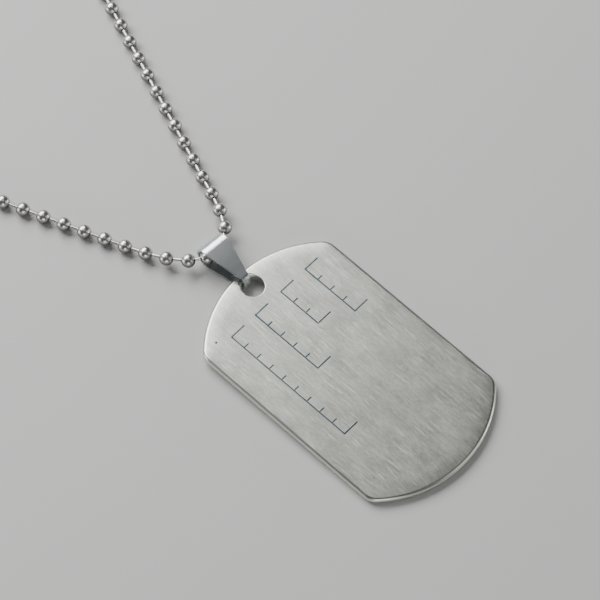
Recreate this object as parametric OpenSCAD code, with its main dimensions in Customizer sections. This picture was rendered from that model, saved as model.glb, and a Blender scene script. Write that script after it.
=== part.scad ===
/* [Tag] */
// Length of the tag
tag_l = 50; // [42:0.5:60]
// Width of the tag
tag_w = 30; // [26:0.5:34]
// Thickness of the plate
tag_t = 1.6; // [1.2:0.1:2.2]
// Radius of the shallow arc at each end
end_r = 20.6; // [19:0.1:26]
// Radius of the four corners
corner_r = 3; // [2:0.1:5]
// Rounding of the plate's upper and lower edges
edge_r = 0.65; // [0.2:0.05:0.7]
// Diameter of the hole for the bail
hole_d = 3.8; // [3.2:0.1:5]
// Distance from the hole's centre to the tag's end
hole_inset = 3.4; // [3.2:0.1:5]
// Bevel round the hole on both faces
hole_bevel = 0.2; // [0.1:0.05:0.3]

/* [Bail] */
// Length of the bail, from the neck to the outside of the fold
bail_l = 10; // [9:0.1:13]
// Thickness of the bail's strip
bail_t = 0.45; // [0.3:0.05:0.6]
// Width of the strip at the fold
bail_w = 4.8; // [4:0.1:6]
// Width of each leaf at its tip
tip_w = 1.6; // [1.4:0.1:2]
// Width of the neck that goes through the tag's hole
neck_w = 1.3; // [0.9:0.1:1.4]
// Height left over a ball inside the bail
bail_play = 1.3; // [1:0.1:2]
// Angle that the bail is swung to one side in the tag's hole
bail_turn = 4; // [0:1:6]
// Outer radius of the two bends that take the neck round the tag's rim
neck_r = 1; // [0.8:0.05:1.2]
// Distance from the neck's end back to the tips of the leaves
tip_inset = 0.9; // [0.7:0.05:1.1]
// Length of the step from a leaf's tip to the neck
neck_step = 0.3; // [0.1:0.1:0.6]
// Gap between the bail's neck and the flat underside of the tag's rim
rim_gap = 0.15; // [0.14:0.01:0.25]
// Height left over the tag's rim inside the neck
rim_play = 1; // [0.8:0.05:1.2]
// Gap between the bail's neck and the wall of the tag's hole
hole_gap = 0.45; // [0.3:0.05:0.6]
// Distance of the hole's centre from the neck's, across the tag
hole_off = 0.2; // [0:0.1:0.4]

/* [Chain] */
// Diameter of a ball
ball_d = 2.4; // [2:0.1:3]
// Thickness of a ball's shell
ball_wall = 0.2; // [0.15:0.01:0.25]
// Distance from ball to ball
pitch = 3.7; // [3.5:0.05:4.5]
// Diameter of a pin between two balls
pin_d = 0.55; // [0.4:0.05:0.6]
// Running gap round each pin and its head
pin_gap = 0.12; // [0.11:0.01:0.15]
// Lip by which a pin's head is larger in radius than the hole that holds it
head_lip = 0.035; // [0.02:0.005:0.06]
// Number of balls on each side of the bail
side_balls = 81; // [65:1:95]

/* [Connector] */
// Distance between the two end balls inside the connector
end_span = 5.8; // [5:0.1:8]
// Wall of the connector's sleeve
sleeve_wall = 0.3; // [0.2:0.05:0.5]
// Gap between an end ball and the sleeve
sleeve_gap = 0.15; // [0.12:0.01:0.25]
// Width of the slot along the sleeve
slot_w = 0.8; // [0.6:0.1:1.2]

/* [Lay] */
// Angle between each straight arm of the chain and the tag's centre line
arm_angle = 21; // [18:1:30]
// Gap between the two balls inside the bail and the fold
fold_gap = 0.35; // [0.2:0.05:0.6]
// Gap between the two balls inside the bail and its upper leaf
leaf_gap = 0.3; // [0.2:0.05:0.6]
// How far the first link outside the bail is pushed together, its pin's head deeper in the ball
first_slack = 0.58; // [0.3:0.02:0.7]
// Length of chain, from the bail's middle, over which it comes down to the surface
lift_run = 18; // [12:1:30]
// Number of links over which it rises again to the connector's middle
end_links = 2.5; // [2:0.5:5]

/* [Hidden] */
$fn = 48;

// Direction, from the bail's crosswise axis, of the first links on each side of the bail
first_links = [38, 57, 66];

// Bail, in its own frame: its length along Y, its back on Z = 0, its middle at the origin. The strip runs
// round three bends: the fold, and the lower and upper bend of the neck.
bail_h = ball_d + bail_play + 2 * bail_t;
fold_r = bail_h / 2;
fold_y = bail_l / 2 - fold_r;
neck_h = 2 * bail_t + rim_gap + tag_t + rim_play;
bend_y = neck_r - bail_l / 2;
bend_z = neck_h - neck_r;
tip_y = tip_inset - bail_l / 2;
neck_y = tip_y - neck_step;

// Direction, in the side view, that the upper leaf faces: it is tangent to the fold and the upper bend
leaf_run = [bend_y - fold_y, bend_z - fold_r];
leaf_face = atan2(leaf_run[1], leaf_run[0]) - acos((fold_r - neck_r) / norm(leaf_run));

// Tag: its rim hangs inside the bail's neck, raised off the surface by the neck's strip
edge = min(edge_r, 0.47 * tag_t);
half_w = tag_w / 2;
arc_y = tag_l / 2 - end_r;
corner_x = half_w - corner_r;
corner_y = arc_y + sqrt(pow(end_r - corner_r, 2) - pow(corner_x, 2));
corner_a = atan2(corner_y - arc_y, corner_x);
hole_y = -bail_l / 2 + bail_t + hole_gap - hole_d / 2;
tag_x = -bail_l / 2 * sin(bail_turn) + hole_off;
tag_y = hole_y + hole_inset - tag_l / 2;
tilt = asin((bail_t + rim_gap) / (tag_l - edge - hole_inset + hole_d / 2));

// Ball and pin: the pin is fixed in its own ball's shell, and its head is loose in the next ball
ball_r = ball_d / 2;
inner_r = ball_r - ball_wall;
pin_hole_r = pin_d / 2 + pin_gap;
head_r = pin_hole_r + head_lip;
head_inset = inner_r - head_r - pin_gap;
pin_start = inner_r + ball_wall / 2;

// Sleeve of the connector
bore_r = ball_r + sleeve_gap;
sleeve_r = bore_r + sleeve_wall;
sleeve_l = end_span + 2 * (bore_r + sleeve_wall);
end_lift = sleeve_r - ball_r;

// Middle of the two balls inside the bail: how far from its middle, and how far off the surface
ball_y = fold_y + fold_r - bail_t - fold_gap - ball_r;
bail_lift = bail_h - bail_t - leaf_gap - ball_d;

function total(v, i = 0) = i < len(v) ? v[i] + total(v, i + 1) : 0;

// Route of one side of the chain: a few turning links, a straight arm and a round far end
arm_dir = 90 - arm_angle;
near_n = len(first_links);
step_x = [for (i = [0 : near_n - 1]) (i == 0 ? pitch - first_slack : pitch) * cos(first_links[i])];
step_y = [for (i = [0 : near_n - 1]) (i == 0 ? pitch - first_slack : pitch) * sin(first_links[i])];
near_x = [for (n = [0 : near_n]) pitch / 2 + total([for (i = [0 : 1 : n - 1]) step_x[i]])];
near_y = [for (n = [0 : near_n]) ball_y + total([for (i = [0 : 1 : n - 1]) step_y[i]])];
start_x = near_x[near_n];
start_y = near_y[near_n];
far_turn = (180 - arm_dir) * PI / 180;
route_l = (side_balls - 1 - near_n) * pitch;
arm_l = (route_l - (start_x - end_span / 2) * far_turn / sin(arm_dir))
    / (1 + far_turn * cos(arm_dir) / sin(arm_dir));
arm_x = start_x + arm_l * cos(arm_dir);
arm_y = start_y + arm_l * sin(arm_dir);
far_r = (arm_x - end_span / 2) / sin(arm_dir);
far_x = arm_x - far_r * sin(arm_dir);
far_y = arm_y + far_r * cos(arm_dir);
chain_x = fold_y * sin(bail_turn);

// Height of a ball's centre where the chain comes down from a lift, at a distance along it
function drop(lift, run, s) = s < run ? lift * pow(cos(90 * s / run), 2) : 0;
function height(k) = ball_r + drop(bail_lift, lift_run, (k + 0.5) * pitch)
    + drop(end_lift, end_links * pitch, (side_balls - 1 - k) * pitch);

// Plan position of ball k of a side, at a distance s along the arm and the far end
function on_arm(s) = [start_x + s * cos(arm_dir), start_y + s * sin(arm_dir)];
function on_far(a) = [far_x + far_r * sin(a), far_y - far_r * cos(a)];
function plan(k) = k <= near_n ? [near_x[k], near_y[k]]
    : (k - near_n) * pitch < arm_l ? on_arm((k - near_n) * pitch)
    : on_far(arm_dir + ((k - near_n) * pitch - arm_l) / far_r * 180 / PI);
function ball_at(side, k) = [chain_x + side * plan(k)[0], plan(k)[1], height(k)];

// Every ball of the loop in order, from the connector down one side and up the other
balls = concat(
    [for (k = [side_balls - 1 : -1 : 0]) ball_at(-1, k)],
    [for (k = [0 : side_balls - 1]) ball_at(1, k)]
);
last = len(balls) - 1;

// Turns a child that points up so that it points along a vector
module aim(v) {
    rotate([0, norm(v) > 0 ? acos(v[2] / norm(v)) : 0, atan2(v[1], v[0])]) children();
}

// Half section of a round plate with rounded edges
module edge_profile(reach) {
    square([reach - edge, tag_t]);
    translate([0, edge]) square([reach, tag_t - 2 * edge]);
    for (z = [edge, tag_t - edge]) translate([reach - edge, z]) circle(r = edge, $fn = 16);
}

// Flat plate with rounded edges, lying on Z = 0 and centred on its outline
module plate() {
    hull() for (sx = [0, 1], sy = [0, 1]) mirror([sx, 0, 0]) mirror([0, sy, 0]) {
        translate([0, arc_y, 0]) rotate([0, 0, corner_a])
            rotate_extrude(angle = 90 - corner_a, $fn = 120) edge_profile(end_r);
        translate([corner_x, corner_y, 0]) rotate_extrude(angle = corner_a, $fn = 32) edge_profile(corner_r);
    }
}

module hole_cutter() {
    translate([0, 0, -1]) cylinder(r = hole_d / 2, h = tag_t + 2);
    for (z = [0, tag_t]) translate([0, 0, z]) mirror([0, 0, z > 0 ? 1 : 0])
        translate([0, 0, -hole_bevel])
            cylinder(r1 = hole_d / 2 + 2 * hole_bevel, r2 = hole_d / 2, h = 2 * hole_bevel);
}

module tag() {
    color([0.72, 0.71, 0.68])
    translate([tag_x, tag_y - tag_l / 2 + edge, edge]) rotate([tilt, 0, 0])
        translate([0, tag_l / 2 - edge, -edge]) difference() {
            plate();
            translate([0, tag_l / 2 - hole_inset, 0]) hole_cutter();
        }
}

// Side view of the folded strip's outside, or of its inside at a depth of the strip's thickness
module side_view(depth) {
    fold = [fold_y, fold_r];
    lower = [bend_y, neck_r];
    upper = [bend_y, bend_z];
    face = [cos(leaf_face), sin(leaf_face)];
    translate(fold) circle(r = fold_r - depth);
    for (bend = [lower, upper]) translate(bend) circle(r = neck_r - depth);
    polygon([
        fold + (fold_r - depth) * face, upper + (neck_r - depth) * face,
        upper - [neck_r - depth, 0], lower - [neck_r - depth, 0],
        lower - [0, neck_r - depth], fold - [0, fold_r - depth]
    ]);
}

module bail() {
    half_plan = [[bail_w / 2, bail_l], [bail_w / 2, fold_y], [tip_w / 2, tip_y], [neck_w / 2, neck_y],
        [neck_w / 2, -bail_l]];
    other_half = [for (i = [len(half_plan) - 1 : -1 : 0]) [-half_plan[i][0], half_plan[i][1]]];
    outline = concat(half_plan, other_half);
    color([0.62, 0.64, 0.66])
    rotate([0, 0, -bail_turn])
        intersection() {
            rotate([90, 0, 90]) linear_extrude(height = 2 * bail_w, center = true)
                difference() {
                    side_view(0);
                    side_view(bail_t);
                }
            translate([0, 0, -1]) linear_extrude(height = bail_h + 2) polygon(outline);
        }
}

// Half section of a hollow ball with its headed pin, the pin reaching up to a height
module link_section(reach) {
    intersection() {
        translate([0, -ball_d]) square([ball_d, 2 * ball_d]);
        difference() {
            circle(r = ball_r);
            circle(r = inner_r);
        }
    }
    if (reach > 0) {
        translate([0, pin_start]) square([pin_d / 2, reach - pin_start]);
        intersection() {
            square([ball_d, 2 * pitch]);
            translate([0, reach]) circle(r = head_r);
        }
    }
}

// Distance from a ball's centre to its pin's head: the same on a link that is pushed together
function pin_reach(span) = max(pitch, span) - head_inset;

// One hollow ball with its pin, whose loose head lies inside the next ball
module link(i) {
    here = balls[i];
    back = i > 0 ? balls[i - 1] : 2 * here - balls[i + 1];
    next = i < last ? balls[i + 1] : here;
    translate(here) difference() {
        aim(next - here) rotate_extrude($fn = 16) link_section(i < last ? pin_reach(norm(next - here)) : 0);
        aim(back - here) cylinder(r = pin_hole_r, h = pitch / 2, $fn = 16);
    }
}

module chain_left() {
    color([0.75, 0.75, 0.76])
    for (i = [0 : side_balls - 1]) link(i);
}

module chain_right() {
    color([0.75, 0.75, 0.76])
    for (i = [side_balls : last]) link(i);
}

module connector() {
    end_y = far_y + far_r;
    color([0.75, 0.75, 0.76])
    translate([chain_x, end_y, sleeve_r]) rotate([0, 90, 0])
        difference() {
            cylinder(r = sleeve_r, h = sleeve_l, center = true);
            cylinder(r = bore_r, h = sleeve_l - 2 * sleeve_wall, center = true);
            cylinder(r = pin_hole_r + 2 * sleeve_gap, h = sleeve_l + 2, center = true);
            translate([-sleeve_r, 0, 0]) cube([2 * sleeve_r, slot_w, end_span], center = true);
        }
}

tag();
bail();
chain_left();
chain_right();
connector();
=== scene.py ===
import math
import random

import bmesh
import bpy
from mathutils import Matrix, Quaternion, Vector


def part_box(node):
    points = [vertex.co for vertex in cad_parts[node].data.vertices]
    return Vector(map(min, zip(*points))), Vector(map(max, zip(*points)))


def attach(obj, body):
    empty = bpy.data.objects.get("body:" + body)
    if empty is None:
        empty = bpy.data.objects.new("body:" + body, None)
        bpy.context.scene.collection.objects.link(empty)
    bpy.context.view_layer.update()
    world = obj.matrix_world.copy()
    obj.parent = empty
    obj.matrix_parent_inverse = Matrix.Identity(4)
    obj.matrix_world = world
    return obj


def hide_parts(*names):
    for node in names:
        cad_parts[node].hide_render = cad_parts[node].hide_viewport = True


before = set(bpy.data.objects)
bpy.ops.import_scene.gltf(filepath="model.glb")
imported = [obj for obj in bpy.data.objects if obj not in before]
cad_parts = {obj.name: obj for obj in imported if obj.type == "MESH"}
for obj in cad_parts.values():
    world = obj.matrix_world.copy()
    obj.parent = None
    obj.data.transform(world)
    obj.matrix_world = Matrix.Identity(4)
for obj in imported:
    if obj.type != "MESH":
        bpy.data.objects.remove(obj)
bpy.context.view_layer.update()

# Studio
# The thing lies on a pale matt table. A camera with a long lens looks down at the tag from in front, and
# six soft boxes in a dim room light it: a large one behind the loop of chain, weak low ones around, and a
# small one overhead.
MM = 0.001
AIM = Vector((4.11, -12.58, 0)) * MM
CAMERA_AZIMUTH = math.radians(313.49)
CAMERA_ELEVATION = math.radians(61.69)
CAMERA_DISTANCE = 586.2 * MM
LENS_MM = 214.2
FARTHEST_SEEN = 10
TABLE_SIZE = 3.0
TABLE_COLOR = (0.62, 0.62, 0.61, 1)
TABLE_ROUGHNESS = 0.6
ROOM_COLOR = (0.07, 0.072, 0.075, 1)

ahead = Vector((-math.sin(CAMERA_AZIMUTH), math.cos(CAMERA_AZIMUTH), -math.tan(CAMERA_ELEVATION)))
ahead.normalize()
turn = ahead.to_track_quat("-Z", "Y").to_euler()
bpy.ops.object.camera_add(location=AIM - ahead * CAMERA_DISTANCE, rotation=turn)
camera = bpy.context.object
camera.data.lens = LENS_MM
camera.data.clip_end = FARTHEST_SEEN
bpy.context.scene.camera = camera


def soft_box(name, direction, distance, width, height, power):
    """A rectangular area light in a direction from the tag, facing it, in metres and watts."""
    toward = Vector(direction).normalized()
    turn = (-toward).to_track_quat("-Z", "Y").to_euler()
    bpy.ops.object.light_add(type="AREA", location=AIM + toward * distance, rotation=turn)
    light = bpy.context.object
    light.name = name
    light.data.shape = "RECTANGLE"
    light.data.size = width
    light.data.size_y = height
    light.data.energy = power


soft_box("key_light", (0.08, 0.72, 0.69), 0.6, 0.60, 0.40, 5.7)
soft_box("right_light", (0.73, -0.67, 0.14), 0.6, 0.20, 0.12, 0.5)
soft_box("left_light", (-0.78, 0.62, 0.14), 0.6, 0.30, 0.16, 0.6)
soft_box("front_light", (-0.66, -0.70, 0.27), 0.6, 0.30, 0.20, 0.6)
soft_box("fill_light", (0.34, -0.82, 0.42), 0.6, 0.24, 0.44, 0.3)
soft_box("top_light", (0, -0.02, 1), 0.7, 0.30, 0.30, 0.2)

world = bpy.data.worlds.new("room")
world.use_nodes = True
world.node_tree.nodes["Background"].inputs["Color"].default_value = ROOM_COLOR
bpy.context.scene.world = world

bpy.ops.mesh.primitive_plane_add(size=TABLE_SIZE, location=(0, 0, 0))
table = bpy.context.object
table.name = "table_top"
table_finish = bpy.data.materials.new("pale_table")
table_finish.use_nodes = True
table_shader = table_finish.node_tree.nodes["Principled BSDF"]
table_shader.inputs["Base Color"].default_value = TABLE_COLOR
table_shader.inputs["Roughness"].default_value = TABLE_ROUGHNESS
table.data.materials.append(table_finish)

# Tag
# A plate punched from stainless sheet, with shallow arched ends and one hole for the bail. Its edges
# are tumbled round, its faces are brushed along their length, and blank entry rows are etched on it.
TAG_LENGTH = 50 * MM
TAG_WIDTH = 30 * MM
TAG_THICKNESS = 1.6 * MM
END_RADIUS = 20.6 * MM
CORNER_RADIUS = 3 * MM
EDGE_RADIUS = 0.65 * MM
SHOULDER_RINGS = ((0.9, 0.05), (1.4, 0.015))
HOLE_RADIUS = 1.9 * MM
HOLE_INSET = 3.4 * MM
HOLE_BEVEL = 0.2 * MM
HOLE_FACETS = 96
NECK_STRIP = 0.45 * MM
NECK_GAP = 0.15 * MM
WELD = 0.01 * MM


def take(*pieces):
    """Selects these pieces alone, and makes the last one active."""
    bpy.ops.object.select_all(action="DESELECT")
    for piece in pieces:
        piece.select_set(True)
    bpy.context.view_layer.objects.active = pieces[-1]


def pick(kind, wanted):
    """Selects, in edit mode, only the vertices, edges or faces whose middle passes a test."""
    bpy.ops.mesh.select_mode(type=kind)
    bpy.ops.mesh.select_all(action="DESELECT")
    shape = bmesh.from_edit_mesh(bpy.context.object.data)
    parts = {"VERT": shape.verts, "EDGE": shape.edges, "FACE": shape.faces}[kind]
    for part in parts:
        corners = [part] if kind == "VERT" else part.verts
        middle = sum((corner.co for corner in corners), Vector()) / len(corners)
        part.select = wanted(middle, [corner.co for corner in corners])
    shape.select_flush_mode()
    bmesh.update_edit_mesh(bpy.context.object.data)


def swing(middle, angle, steps, axis=(0, 0, -1)):
    """Draws an arc from the selected point or edge, anticlockwise about +Z unless told otherwise."""
    bpy.ops.mesh.spin(steps=steps, angle=angle, center=middle, axis=axis)


def draw(x=0.0, y=0.0, z=0.0):
    """Draws on from what is selected, in a straight line."""
    bpy.ops.mesh.extrude_region_move(TRANSFORM_OT_translate={"value": (x, y, z)})


def finish_with(piece, kind, **settings):
    """Adds a modifier with its settings and applies it."""
    take(piece)
    modifier = piece.modifiers.new(kind.lower(), kind)
    for name, value in settings.items():
        setattr(modifier, name, value)
    bpy.ops.object.modifier_apply(modifier=modifier.name)


def smooth(piece, degrees):
    """Shades a piece smooth, but for edges that turn by more than an angle."""
    take(piece)
    bpy.ops.object.shade_smooth_by_angle(angle=math.radians(degrees))


corner_x = TAG_WIDTH / 2 - CORNER_RADIUS
arc_y = TAG_LENGTH / 2 - END_RADIUS
corner_y = arc_y + math.sqrt((END_RADIUS - CORNER_RADIUS) ** 2 - corner_x**2)
corner_angle = math.atan2(corner_y - arc_y, corner_x)
hole_y = TAG_LENGTH / 2 - HOLE_INSET

# The outline is drawn from one point, up a side, round an end, and the same again for the other half
bpy.ops.object.select_all(action="DESELECT")
bpy.ops.mesh.primitive_plane_add(size=TAG_WIDTH, location=(0, 0, 0))
tag = bpy.context.object
tag.name = "tag_plate"
bpy.ops.object.mode_set(mode="EDIT")
bpy.ops.mesh.merge(type="CENTER")
bpy.ops.transform.translate(value=(TAG_WIDTH / 2, -corner_y, 0))
for side in (1, -1):
    draw(y=side * 2 * corner_y)
    swing((side * corner_x, side * corner_y, 0), corner_angle, 12)
    swing((0, side * arc_y, 0), math.pi - 2 * corner_angle, 48)
    swing((-side * corner_x, side * corner_y, 0), corner_angle, 12)
bpy.ops.mesh.select_all(action="SELECT")
bpy.ops.mesh.remove_doubles(threshold=WELD)
bpy.ops.mesh.edge_face_add()

# Both faces rise from the rim in two rings, given as the width and the rise of each in millimetres, so the
# plate is drawn thinner by their sum first
swell = sum(rise for width, rise in SHOULDER_RINGS) * MM
draw(z=TAG_THICKNESS - 2 * swell)
bpy.ops.mesh.select_all(action="SELECT")
bpy.ops.transform.translate(value=(0, 0, swell))
bpy.ops.mesh.normals_make_consistent(inside=False)
pick("EDGE", lambda middle, ends: abs(ends[0].z - ends[1].z) < EDGE_RADIUS)
bpy.ops.mesh.bevel(offset=EDGE_RADIUS, segments=8, profile=0.5, affect="EDGES")
pick("FACE", lambda middle, ends: len(ends) > 8)
for width, rise in SHOULDER_RINGS:
    bpy.ops.mesh.inset(thickness=width * MM, depth=rise * MM)
bpy.ops.object.mode_set(mode="OBJECT")

bpy.ops.mesh.primitive_cylinder_add(
    vertices=HOLE_FACETS,
    radius=HOLE_RADIUS,
    depth=4 * TAG_THICKNESS,
    location=(0, hole_y, TAG_THICKNESS / 2),
)
punch = bpy.context.object
finish_with(tag, "BOOLEAN", operation="DIFFERENCE", solver="EXACT", object=punch)
bpy.data.objects.remove(punch)


def at_hole_rim(middle, ends):
    """Whether an edge lies flat along the rim of the hole."""
    off = [abs(math.hypot(end.x, end.y - hole_y) - HOLE_RADIUS) for end in ends]
    return max(off) < 2 * WELD and abs(ends[0].z - ends[1].z) < HOLE_BEVEL


take(tag)
bpy.ops.object.mode_set(mode="EDIT")
pick("EDGE", at_hole_rim)
bpy.ops.mesh.bevel(offset=HOLE_BEVEL, segments=4, profile=0.5, affect="EDGES")
bpy.ops.object.mode_set(mode="OBJECT")

# Each entry row is a base line with ticks that part it into cells: its place across and along the tag,
# and how many cells it has.
ROWS = ((9.7, 17.6, 4), (3.9, 17.6, 3), (-2.1, 17.6, 5), (-7.7, 17.6, 9))
CELL = 2.8 * MM
ROW_HEIGHT = 3.0 * MM
TICK_HEIGHT = 1.1 * MM
STROKE = 0.25 * MM
ETCH_DEPTH = 0.04 * MM


def stroke(x, y, width, length):
    """A bar that cuts one etched line, from its middle and its size across and along the tag."""
    bpy.ops.mesh.primitive_cube_add(size=1, location=(x, y, TAG_THICKNESS))
    bar = bpy.context.object
    bar.scale = (width, length, 2 * ETCH_DEPTH)
    return bar


bars = []
for across, start, cells in ROWS:
    base = across * MM - ROW_HEIGHT / 2
    length = cells * CELL
    bars.append(stroke(base, start * MM - length / 2, STROKE, length + STROKE))
    for tick in range(cells + 1):
        rise = ROW_HEIGHT if tick in (0, cells) else TICK_HEIGHT
        bars.append(stroke(base + rise / 2, start * MM - tick * CELL, rise, STROKE))
take(*bars)
bpy.ops.object.transform_apply(location=True, rotation=False, scale=True)
bpy.ops.object.join()
etching = bpy.context.object
finish_with(tag, "BOOLEAN", operation="DIFFERENCE", solver="EXACT", use_self=True, object=etching)
bpy.data.objects.remove(etching)


class Field:
    """A number, colour or vector that varies over a surface. A sum or product of fields adds Math nodes."""

    def __init__(self, tree, socket=None):
        self.tree = tree
        self.socket = socket

    def node(self, kind, settings, values, output=0):
        """Any node: its settings first, and then its sockets' values or links."""
        made = self.tree.nodes.new(kind)
        for name, value in settings.items():
            setattr(made, name, value)
        for name, value in values.items():
            if isinstance(value, Field):
                self.tree.links.new(value.socket, made.inputs[name])
            else:
                made.inputs[name].default_value = value
        return Field(self.tree, made.outputs[output])

    def math(self, operation, *values):
        return self.node("ShaderNodeMath", {"operation": operation}, dict(enumerate(values)))

    def __add__(self, other):
        return self.math("ADD", self, other)

    def __sub__(self, other):
        return self.math("SUBTRACT", self, other)

    def __rsub__(self, other):
        return self.math("SUBTRACT", other, self)

    def __mul__(self, other):
        return self.math("MULTIPLY", self, other)

    def __abs__(self):
        return self.math("ABSOLUTE", self)

    __radd__ = __add__
    __rmul__ = __mul__

    def most(self, other):
        """The larger of the two at each place."""
        return self.math("MAXIMUM", self, other)

    def sway(self, amount):
        """How far the field is from 0.5, times an amount."""
        return (self - 0.5) * amount

    def step(self, low, high):
        """0 below low, 1 above high, and a smooth rise between them."""
        limits = {"From Min": low, "From Max": high}
        settings = {"interpolation_type": "SMOOTHSTEP"}
        return self.node("ShaderNodeMapRange", settings, {"Value": self, **limits})

    def noise(self, place, scale, detail=2.0, roughness=0.5):
        """Noise round 0.5 at a place, with that many waves in a millimetre along each axis."""
        stretched = self.node("ShaderNodeVectorMath", {"operation": "MULTIPLY"}, {0: place, 1: scale})
        values = {"Vector": stretched, "Scale": 1 / MM, "Detail": detail, "Roughness": roughness}
        return self.node("ShaderNodeTexNoise", {"noise_dimensions": "3D"}, values)

    def blend(self, share, first, second):
        """Mixes two colours, from the first at 0 to the second at 1."""
        sockets = {"Factor": share, "A": first, "B": second}
        mixed = self.tree.nodes.new("ShaderNodeMix")
        mixed.data_type = "RGBA"
        for socket in mixed.inputs:
            if socket.enabled and socket.name in sockets:
                value = sockets[socket.name]
                if isinstance(value, Field):
                    self.tree.links.new(value.socket, socket)
                else:
                    socket.default_value = value
        return Field(self.tree, next(socket for socket in mixed.outputs if socket.enabled))

    def relief(self, height, strength, depth):
        """A normal that a height has bumped."""
        return self.node("ShaderNodeBump", {}, {"Strength": strength, "Distance": depth, "Height": height})

    def axes(self):
        """The three numbers of a vector."""
        return [self.node("ShaderNodeSeparateXYZ", {}, {"Vector": self}, axis) for axis in range(3)]


def new_finish(name):
    """A new material, its shader, and a field and the place on the piece to start its formulas from."""
    finish = bpy.data.materials.new(name)
    finish.use_nodes = True
    tree = finish.node_tree
    field = Field(tree)
    place = field.node("ShaderNodeTexCoord", {}, {}, "Object")
    return finish, tree.nodes["Principled BSDF"], field, place


def feed(shader, **values):
    """Sets or links the shader's sockets, with _ for the spaces in their names."""
    for name, value in values.items():
        socket = shader.inputs[name.replace("_", " ")]
        if isinstance(value, Field):
            value.tree.links.new(value.socket, socket)
        else:
            socket.default_value = value


STEEL = (0.70, 0.71, 0.65, 1)
STEEL_DARK = (0.43, 0.44, 0.405, 1)
LEAST_ROUGHNESS = 0.28
ETCHED = (0.045, 0.085, 0.105, 1)
ETCHED_PALE = (0.12, 0.17, 0.19, 1)

# A dark pit on the face, near the edge
PIT = Vector((-11.8, -8.9, 2.15)) * MM
PIT_RADIUS = 0.2 * MM

brushed_steel, shader, field, place = new_finish("brushed_steel")
facing = field.node("ShaderNodeTexCoord", {}, {}, "Normal").axes()[2]
flat = abs(facing).step(0.80, 0.995)
hairlines = field.noise(place, (9, 0.12, 9), 3, 0.65)
strands = field.noise(place, (2.4, 0.06, 2.4), 3, 0.6)
grain = field.noise(place, (3.2, 1.1, 3.2), 2, 0.6)
specks = field.noise(place, (8, 5, 8), 1, 0.5)
clouds = field.noise(place, (0.38, 0.22, 0.38), 3, 0.6)
slanted = field.node("ShaderNodeMapping", {}, {"Vector": place, "Rotation": (0, 0, math.radians(5))})
scratches = field.noise(place, (5.5, 0.28, 5.5), 0).step(0.70, 0.76)
slants = field.noise(slanted, (5.0, 0.25, 5.0), 0).step(0.72, 0.78)
far_off = field.node("ShaderNodeVectorMath", {"operation": "DISTANCE"}, {0: place, 1: PIT}, 1)
pit = 1 - far_off.step(0.6 * PIT_RADIUS, 1.6 * PIT_RADIUS)
marks = scratches.most(slants)
tone = 0.5 - clouds.sway(0.8) - strands.sway(0.5) - grain.sway(0.7) - specks.sway(0.7) - marks * 0.5
lines = hairlines * 0.6 + strands * 0.5 + grain * 0.5 - marks * 0.5
rough = clouds.sway(0.10) + strands.sway(0.06) + grain.sway(0.07) + specks.sway(0.06) + marks * 0.03
feed(
    shader,
    Base_Color=field.blend(pit, field.blend(tone * flat, STEEL, STEEL_DARK), ETCHED),
    Metallic=1.0,
    Roughness=(0.31 + rough * flat).most(LEAST_ROUGHNESS),
    Normal=field.relief(lines * flat, 0.5, 0.006 * MM),
)

etched_steel, shader, field, place = new_finish("etched_steel")
grain = field.noise(place, (7, 7, 7), 3, 0.6)
feed(
    shader,
    Base_Color=field.blend(grain.step(0.35, 0.75), ETCHED, ETCHED_PALE),
    Metallic=0.3,
    Roughness=0.6 + grain.sway(0.3),
)

tag.data.materials.clear()
tag.data.materials.append(brushed_steel)
tag.data.materials.append(etched_steel)
for face in tag.data.polygons:
    off_floor = abs(face.center.z - TAG_THICKNESS + ETCH_DEPTH)
    face.material_index = 1 if face.normal.z > 0.9999 and off_floor < 0.1 * ETCH_DEPTH else 0
smooth(tag, 30)
finish_with(tag, "WEIGHTED_NORMAL", keep_sharp=True, weight=90)

# The tag rests on its far lower edge and, at the hole, on the bail's neck
low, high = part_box("tag")
tilt = math.asin((NECK_STRIP + NECK_GAP) / (TAG_LENGTH - EDGE_RADIUS - HOLE_INSET + HOLE_RADIUS))
hinge = Vector(((low.x + high.x) / 2, low.y + EDGE_RADIUS, EDGE_RADIUS))
tag.data.transform(
    Matrix.Translation(hinge)
    @ Matrix.Rotation(tilt, 4, "X")
    @ Matrix.Translation((0, TAG_LENGTH / 2 - EDGE_RADIUS, -EDGE_RADIUS))
)
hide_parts("tag")
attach(tag, "root")

# Bail
# One strip of polished steel, folded over the chain and tapering on both leaves to a narrow neck, which
# goes over the tag's rim and down through its hole. The two ends meet under the tag and are closed up.
BAIL_LENGTH = 10 * MM
BAIL_HEIGHT = 4.6 * MM
NECK_HEIGHT = 3.65 * MM
NECK_RADIUS = 1 * MM
FOLD_WIDTH = 4.8 * MM
TIP_WIDTH = 1.6 * MM
NECK_WIDTH = 1.3 * MM
TIP_INSET = 0.9 * MM
NECK_STEP = 0.3 * MM
BAIL_TURN = math.radians(4)
STRIP_ROUNDING = 0.08 * MM
SHARP = math.radians(60)

fold_r = BAIL_HEIGHT / 2
fold_y = BAIL_LENGTH / 2 - fold_r
neck_end = NECK_RADIUS - BAIL_LENGTH / 2
tip_y = TIP_INSET - BAIL_LENGTH / 2
neck_y = tip_y - NECK_STEP
leaf_run = Vector((neck_end - fold_y, NECK_HEIGHT - NECK_RADIUS - fold_r))
leaf_length = math.sqrt(leaf_run.length**2 - (fold_r - NECK_RADIUS) ** 2)
leaf_lean = math.atan2(fold_r - NECK_RADIUS, leaf_length) - math.atan2(leaf_run.y, -leaf_run.x)

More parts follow.
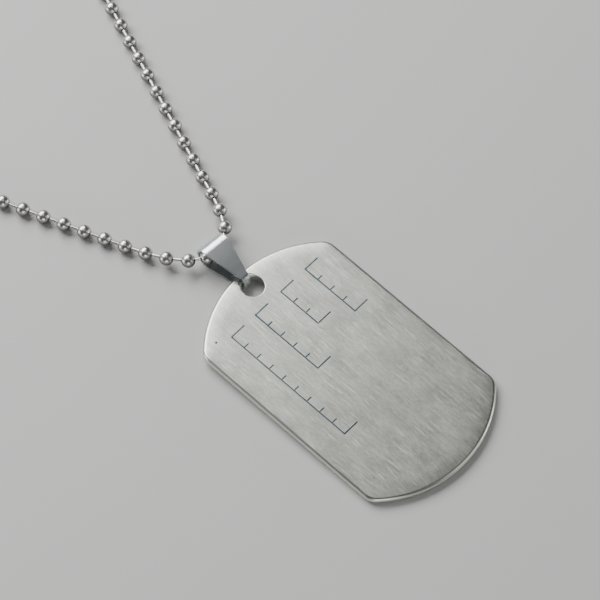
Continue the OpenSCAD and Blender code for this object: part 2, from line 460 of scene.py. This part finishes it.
# The strip's edge is drawn as a line across, from the back leaf round the fold and both bends of the neck
bpy.ops.object.select_all(action="DESELECT")
bpy.ops.mesh.primitive_plane_add(size=FOLD_WIDTH, location=(0, 0, 0))
bail = bpy.context.object
bail.name = "folded_bail"
bpy.ops.object.mode_set(mode="EDIT")
pick("VERT", lambda middle, ends: middle.y > 0)
bpy.ops.mesh.delete(type="VERT")
bpy.ops.mesh.select_all(action="SELECT")
bpy.ops.transform.translate(value=(0, FOLD_WIDTH / 2 + neck_end, 0))
draw(y=fold_y - neck_end)
swing((0, fold_y, fold_r), math.pi + leaf_lean, 40, (-1, 0, 0))
draw(y=-leaf_length * math.cos(leaf_lean), z=-leaf_length * math.sin(leaf_lean))
swing((0, neck_end, NECK_HEIGHT - NECK_RADIUS), math.pi / 2 - leaf_lean, 16, (-1, 0, 0))
draw(z=2 * NECK_RADIUS - NECK_HEIGHT)
swing((0, neck_end, NECK_RADIUS), math.pi / 2, 16, (-1, 0, 0))
bpy.ops.mesh.select_all(action="SELECT")
bpy.ops.mesh.remove_doubles(threshold=WELD)
for cut in (tip_y, neck_y):
    bpy.ops.mesh.select_all(action="SELECT")
    bpy.ops.mesh.bisect(plane_co=(0, cut, 0), plane_no=(0, 1, 0))
bpy.ops.mesh.select_all(action="SELECT")
bpy.ops.mesh.normals_make_consistent(inside=False)
bpy.ops.object.mode_set(mode="OBJECT")
for corner in bail.data.vertices:
    along = corner.co.y
    if along > tip_y:
        width = TIP_WIDTH + (FOLD_WIDTH - TIP_WIDTH) * min(1, (along - tip_y) / (fold_y - tip_y))
    else:
        width = NECK_WIDTH + (TIP_WIDTH - NECK_WIDTH) * max(0, (along - neck_y) / (tip_y - neck_y))
    corner.co.x = math.copysign(width / 2, corner.co.x)
finish_with(bail, "SOLIDIFY", thickness=NECK_STRIP, offset=-1, use_even_offset=True)
finish_with(bail, "BEVEL", width=STRIP_ROUNDING, segments=3, limit_method="ANGLE", angle_limit=SHARP)
smooth(bail, 40)
finish_with(bail, "WEIGHTED_NORMAL", keep_sharp=True, weight=60)
bail.data.transform(Matrix.Rotation(-BAIL_TURN, 4, "Z"))

# The leaves' colour is darkened towards the tip as painted shade, while the fold and the neck keep the
# brighter steel
BAIL_STEEL = (0.76, 0.79, 0.81, 1)
BAIL_STEEL_SHADED = (0.33, 0.347, 0.358, 1)
satin_steel, shader, field, place = new_finish("satin_steel")
rub = field.noise(place, (1.2, 9, 9), 3, 0.6)
cloud = field.noise(place, (0.5, 0.5, 0.5), 2, 0.5)
along = place.axes()[1]
# Painted shade: this mask darkens the leaves' colour towards the tip, and leaves the fold and the neck
# bright
painted_leaf_shade = (1 - along.step(-2.5 * MM, 4.5 * MM)) * along.step(-4.6 * MM, -4.1 * MM)
feed(
    shader,
    Base_Color=field.blend(cloud.step(0.3, 0.7) * 0.15 + painted_leaf_shade * 0.85, BAIL_STEEL, BAIL_STEEL_SHADED),
    Metallic=1.0,
    Roughness=(0.30 + painted_leaf_shade * 0.04 + cloud.sway(0.06) + rub.sway(0.06)).most(LEAST_ROUGHNESS),
    Normal=field.relief(rub, 0.25, 0.004 * MM),
)
bail.data.materials.clear()
bail.data.materials.append(satin_steel)
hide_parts("bail")
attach(bail, "root")

# Chain
# Hollow balls rolled from thin strip, each with a hole at both poles, and wire pins whose heads are
# caught inside the balls, so that each ball swings and turns on the next. All of it is tumbled bright.
BALL_RADIUS = 1.2 * MM
PITCH = 3.7 * MM
PIN_RADIUS = 0.275 * MM
PIN_HOLE = 0.395 * MM
LIP_DEPTH = 0.2 * MM
SIDE_BALLS = 81
FIRST_LINKS = (38, 57, 66)
FIRST_SLACK = 0.58 * MM
ARM_ANGLE = 21
END_SPAN = 5.8 * MM
FOLD_GAP = 0.35 * MM
LEAF_GAP = 0.3 * MM
SLEEVE_RADIUS = 1.65 * MM

# The chain comes down to the table from the bail over this run, and rises to the sleeve over these links
LIFT_RUN = 18 * MM
END_LINKS = 2.5

arm = math.radians(90 - ARM_ANGLE)
ball_y = BAIL_LENGTH / 2 - NECK_STRIP - FOLD_GAP - BALL_RADIUS
bail_lift = BAIL_HEIGHT - NECK_STRIP - LEAF_GAP - 2 * BALL_RADIUS
end_lift = SLEEVE_RADIUS - BALL_RADIUS
chain_x = fold_y * math.sin(BAIL_TURN)

# One side of the chain in plan: a few turning links from the bail, a straight arm and a round far end
near = [Vector((PITCH / 2, ball_y, 0))]
for heading, link in zip(FIRST_LINKS, (PITCH - FIRST_SLACK, PITCH, PITCH)):
    turned = math.radians(heading)
    near.append(near[-1] + link * Vector((math.cos(turned), math.sin(turned), 0)))
start = near[-1]

# The arm's length and the far end's radius follow from the number of links that are left
far_turn = math.pi - arm
route = (SIDE_BALLS - 1 - len(FIRST_LINKS)) * PITCH
arm_length = (route - (start.x - END_SPAN / 2) * far_turn / math.sin(arm)) / (
    1 + far_turn * math.cos(arm) / math.sin(arm)
)
arm_way = Vector((math.cos(arm), math.sin(arm), 0))
arm_end = start + arm_length * arm_way
far_radius = (arm_end.x - END_SPAN / 2) / math.sin(arm)
far_middle = arm_end + far_radius * Vector((-math.sin(arm), math.cos(arm), 0))


def drop(lift, run, along):
    """Height left over the table where the chain comes down from a lift."""
    return lift * math.cos(math.pi / 2 * along / run) ** 2 if along < run else 0


def ball_middle(side, index):
    """The middle of a ball, counted from the bail, on the right side or the left."""
    along = (index - len(FIRST_LINKS)) * PITCH
    if along <= 0:
        spot = near[index]
    elif along < arm_length:
        spot = start + along * arm_way
    else:
        angle = arm + (along - arm_length) / far_radius
        spot = far_middle + far_radius * Vector((math.sin(angle), -math.cos(angle), 0))
    height = BALL_RADIUS + drop(bail_lift, LIFT_RUN, (index + 0.5) * PITCH)
    height += drop(end_lift, END_LINKS * PITCH, (SIDE_BALLS - 1 - index) * PITCH)
    return Vector((chain_x + side * spot.x, spot.y, height))


# The ball: a sphere whose poles are opened to the pin holes, with the rim of each turned inwards
bpy.ops.object.select_all(action="DESELECT")
bpy.ops.mesh.primitive_uv_sphere_add(segments=24, ring_count=14, radius=BALL_RADIUS, location=(0, 0, 0))
ball = bpy.context.object
bpy.ops.object.mode_set(mode="EDIT")
pick("VERT", lambda middle, ends: abs(middle.z) > 0.999 * BALL_RADIUS)
bpy.ops.mesh.delete(type="VERT")
hole_height = math.sqrt(BALL_RADIUS**2 - PIN_HOLE**2)
for pole in (1, -1):
    pick("VERT", lambda middle, ends: middle.z * pole > 0.95 * BALL_RADIUS)
    rim = next(corner.co.copy() for corner in bmesh.from_edit_mesh(ball.data).verts if corner.select)
    narrowed = PIN_HOLE / math.hypot(rim.x, rim.y)
    bpy.ops.transform.resize(value=(narrowed, narrowed, 1))
    bpy.ops.transform.translate(value=(0, 0, pole * hole_height - rim.z))
    draw(z=-pole * LIP_DEPTH)
bpy.ops.object.mode_set(mode="OBJECT")
smooth(ball, 35)

# The pin: a wire that reaches from inside one ball to inside the next
PIN_DEPTH = 0.75 * MM
bpy.ops.mesh.primitive_cylinder_add(
    vertices=12, radius=PIN_RADIUS, depth=PITCH - 2 * PIN_DEPTH, location=(0, 0, PITCH / 2)
)
pin = bpy.context.object
bpy.ops.object.transform_apply(location=True, rotation=False, scale=False)
smooth(pin, 35)

BALL_STEEL = (0.70, 0.69, 0.67, 1)
# The dark colour serves both the balls' tarnish and the painted shade on their undersides
BALL_TARNISH_AND_SHADE = (0.22, 0.21, 0.195, 1)
bright_steel, shader, field, place = new_finish("bright_steel")
from_pole = abs(field.node("ShaderNodeUVMap", {"uv_map": "UVMap"}, {}).axes()[1] - 0.5)
wear = field.noise(place, (0.45, 0.45, 0.45), 2, 0.5)
specks = field.noise(place, (3.5, 3.5, 3.5), 3, 0.6)
# Painted shade: the undersides of the balls are darkened in their colour, as if they mirrored a dark table.
# The balls are also darker round the pin holes and in random specks.
under = 1 - field.node("ShaderNodeTexCoord", {}, {}, "Normal").axes()[2].step(0.2, 0.58)
grime_and_painted_shade = (from_pole.step(0.36, 0.41) * 0.8).most(specks.step(0.62, 0.8) * 0.35).most(under)
feed(
    shader,
    Base_Color=field.blend(grime_and_painted_shade, BALL_STEEL, BALL_TARNISH_AND_SHADE),
    Metallic=1.0,
    Roughness=(0.29 + wear.sway(0.10) + specks.sway(0.08) + grime_and_painted_shade * 0.08).most(LEAST_ROUGHNESS),
    Normal=field.relief(specks, 0.3, 0.01 * MM),
)
pin_steel, shader, field, place = new_finish("pin_steel")
drawn = field.noise(place, (2.5, 2.5, 2.5), 2, 0.5)
feed(
    shader,
    Base_Color=field.blend(drawn.step(0.4, 0.8) * 0.2, BALL_STEEL, BALL_TARNISH_AND_SHADE),
    Metallic=1.0,
    Roughness=(0.30 + drawn.sway(0.10)).most(LEAST_ROUGHNESS),
)
for part, finish in ((ball, bright_steel), (pin, pin_steel)):
    part.data.materials.clear()
    part.data.materials.append(finish)

# Every ball is the first one copied, turned by chance about the chain and bent to the chain's turn there
spots = {side: [ball_middle(side, index) for index in range(SIDE_BALLS)] for side in (1, -1)}
loop = spots[-1][::-1] + spots[1]
chance = random.Random(7)
links = {-1: [], 1: []}
for index, middle in enumerate(loop):
    side = -1 if index < SIDE_BALLS else 1
    onward = (loop[index + 1] - middle).normalized() if index + 1 < len(loop) else None
    back = (middle - loop[index - 1]).normalized() if index else onward
    onward = onward or back
    axis = (onward + back).normalized()
    bend = onward.cross(back)
    half = -onward.angle(back) / 2
    stand = axis.to_track_quat("Z", "Y") @ Quaternion((0, 0, 1), chance.uniform(0, 2 * math.pi))
    copy = ball.copy()
    copy.data = ball.data.copy()
    bpy.context.collection.objects.link(copy)
    for corner in copy.data.vertices:
        share = corner.co.z / BALL_RADIUS
        spot = stand @ corner.co
        if bend.length > 1e-5:
            spot = Quaternion(bend, half * math.copysign(share * share, share)) @ spot
        corner.co = middle + spot
    links[side].append(copy)
    if index + 1 < len(loop):
        copy = pin.copy()
        copy.data = pin.data.copy()
        bpy.context.collection.objects.link(copy)
        stand = Matrix.Translation(middle) @ onward.to_track_quat("Z", "Y").to_matrix().to_4x4()
        copy.data.transform(stand)
        links[side].append(copy)
bpy.data.objects.remove(ball)
bpy.data.objects.remove(pin)
for side, name, node in ((-1, "left_strand", "chain_left"), (1, "right_strand", "chain_right")):
    take(*links[side])
    bpy.ops.object.join()
    strand = bpy.context.object
    strand.name = name
    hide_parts(node)
    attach(strand, "root")

# Connector
# A sleeve rolled from sheet, with a slot along its top and a round hole in each end. The last two balls
# are pressed in through the slot and held by the ends.
SLEEVE_WALL = 0.3 * MM
SLEEVE_LENGTH = 9.1 * MM
END_HOLE = 0.695 * MM
SLOT_WIDTH = 0.8 * MM
SLEEVE_ROUNDING = 0.3 * MM

low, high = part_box("connector")
sleeve_spot = (low + high) / 2
bpy.ops.object.select_all(action="DESELECT")
bpy.ops.mesh.primitive_cylinder_add(
    vertices=48, radius=SLEEVE_RADIUS, depth=SLEEVE_LENGTH, location=(0, 0, 0), rotation=(0, math.pi / 2, 0)
)
sleeve = bpy.context.object
sleeve.name = "chain_connector"
bpy.ops.object.transform_apply(location=False, rotation=True, scale=False)
bpy.ops.object.mode_set(mode="EDIT")
pick("EDGE", lambda middle, ends: abs(ends[0].x - ends[1].x) < 0.1 * MM)
bpy.ops.mesh.bevel(offset=SLEEVE_ROUNDING, segments=5, profile=0.5, affect="EDGES")
pick("FACE", lambda middle, ends: abs(middle.x) > 0.499 * SLEEVE_LENGTH and len(ends) > 8)
bpy.ops.mesh.inset(thickness=SLEEVE_RADIUS - SLEEVE_ROUNDING - END_HOLE, depth=0)
bpy.ops.mesh.delete(type="FACE")
bpy.ops.object.mode_set(mode="OBJECT")
finish_with(sleeve, "SOLIDIFY", thickness=SLEEVE_WALL, offset=-1, use_even_offset=True)
bpy.ops.mesh.primitive_cube_add(size=1, location=(0, 0, SLEEVE_RADIUS))
slot_bar = bpy.context.object
slot_bar.scale = (END_SPAN, SLOT_WIDTH, 2 * SLEEVE_RADIUS - 2 * SLEEVE_WALL)
bpy.ops.object.transform_apply(location=True, rotation=False, scale=True)
finish_with(slot_bar, "BEVEL", width=0.45 * SLOT_WIDTH, segments=6, limit_method="ANGLE", angle_limit=1)
finish_with(sleeve, "BOOLEAN", operation="DIFFERENCE", solver="EXACT", object=slot_bar)
bpy.data.objects.remove(slot_bar)
smooth(sleeve, 35)
sleeve.data.transform(Matrix.Translation(sleeve_spot))
sleeve.data.materials.clear()
sleeve.data.materials.append(satin_steel)
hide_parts("connector")
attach(sleeve, "root")
